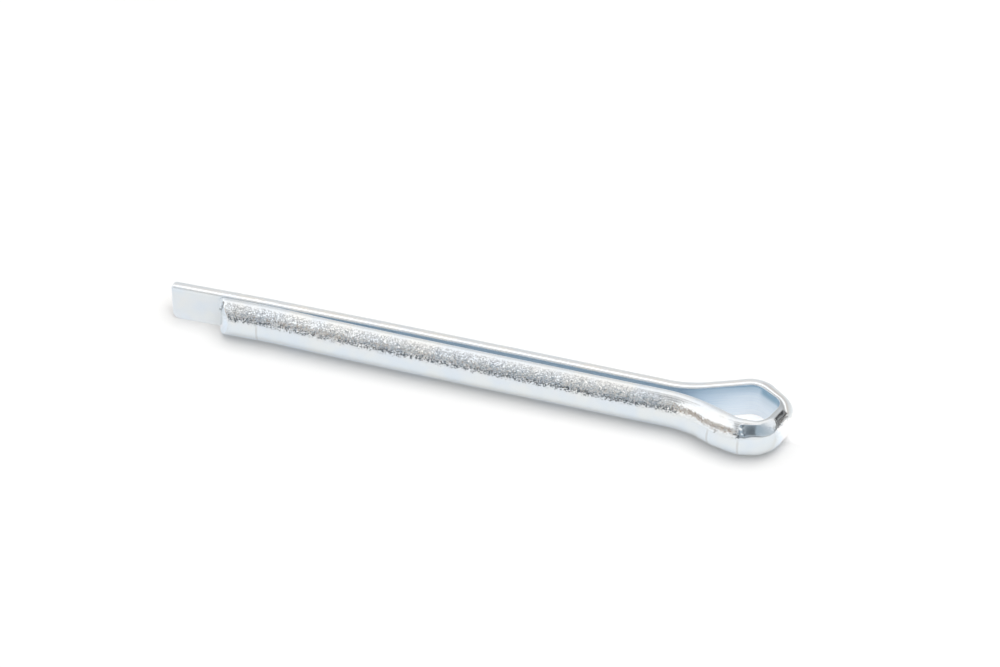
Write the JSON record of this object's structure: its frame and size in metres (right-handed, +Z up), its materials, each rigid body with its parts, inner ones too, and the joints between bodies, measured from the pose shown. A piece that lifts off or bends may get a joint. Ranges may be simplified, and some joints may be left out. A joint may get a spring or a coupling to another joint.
{
  "type": "cotter pin",
  "caption": "Split pin of folded half-round wire with a round eye and two prongs of unequal length, pushed through a cross hole and spread to lock a nut or a clevis pin.",
  "frame": {"origin": "on the shank's axis at the seat, where the shank starts to widen into the eye", "axes": "+X along the shank towards the prongs' ends, +Y towards the short prong's side, +Z up along the axis of the eye"},
  "size_m": [0.0536, 0.0075, 0.0036],
  "materials": {
    "zinc_plated_steel": "bright zinc plate with a faint blue cast over drawn low-carbon steel wire"
  },
  "bodies": {
    "root": {"cotter_pin": "zinc_plated_steel"}
  },
  "joints": []
}
